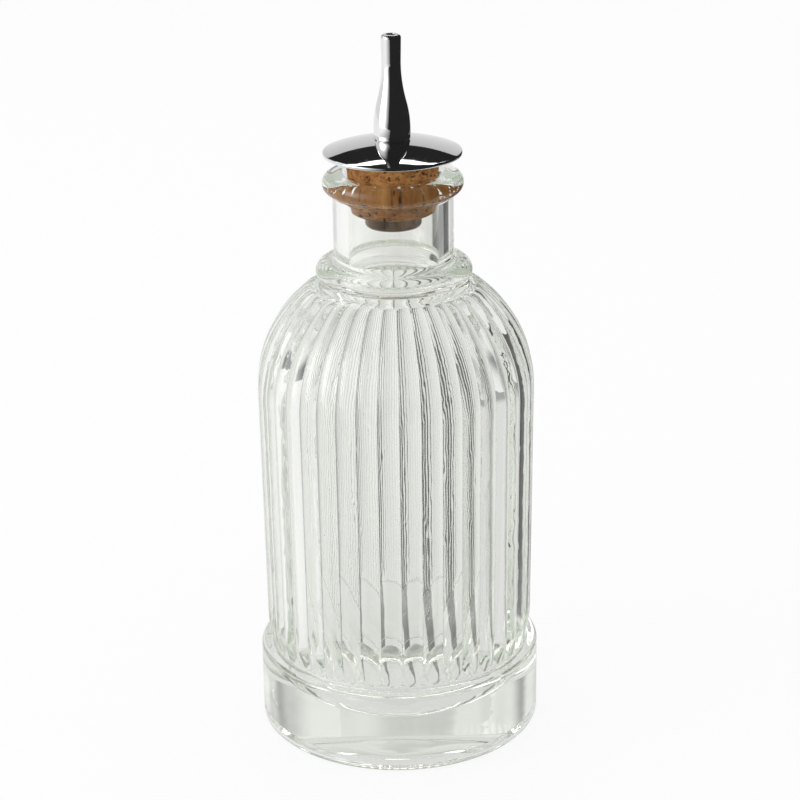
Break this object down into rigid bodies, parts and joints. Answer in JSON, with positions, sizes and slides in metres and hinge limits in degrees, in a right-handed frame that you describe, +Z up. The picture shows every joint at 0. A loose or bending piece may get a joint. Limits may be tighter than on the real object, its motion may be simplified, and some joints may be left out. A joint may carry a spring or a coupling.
{
  "type": "bitters bottle",
  "caption": "Reeded glass bitters bottle with a heavy plinth, beaded neck and round lip, closed by a lift-out cork stopper with a domed drip flange and a slender dasher spout.",
  "frame": {"origin": "centre of the ring on which the bottle stands, at table height", "axes": "+Z up along the bottle's axis, -Y towards the viewer of the picture, +X to the viewer's right"},
  "size_m": [0.07, 0.07, 0.1752],
  "materials": {
    "clear_glass": "clear fire-polished glass, slightly green in the thick foot",
    "natural_cork": "natural cork with dark pits",
    "polished_metal": "mirror polished",
    "plain_steel": "drawn tube"
  },
  "bodies": {
    "bottle": {"glass_foot": "clear_glass", "glass_body": "clear_glass", "glass_neck": "clear_glass"},
    "stopper": {"cork": "natural_cork", "drip_flange": "polished_metal", "spout": "polished_metal", "stem_tube": "plain_steel", "retaining_nut": "polished_metal"}
  },
  "joints": [
    {"name": "stopper_lift", "type": "slide", "parent": "bottle", "child": "stopper", "axis": [0, 0, 1], "range_m": [0, 0.04]}
  ]
}
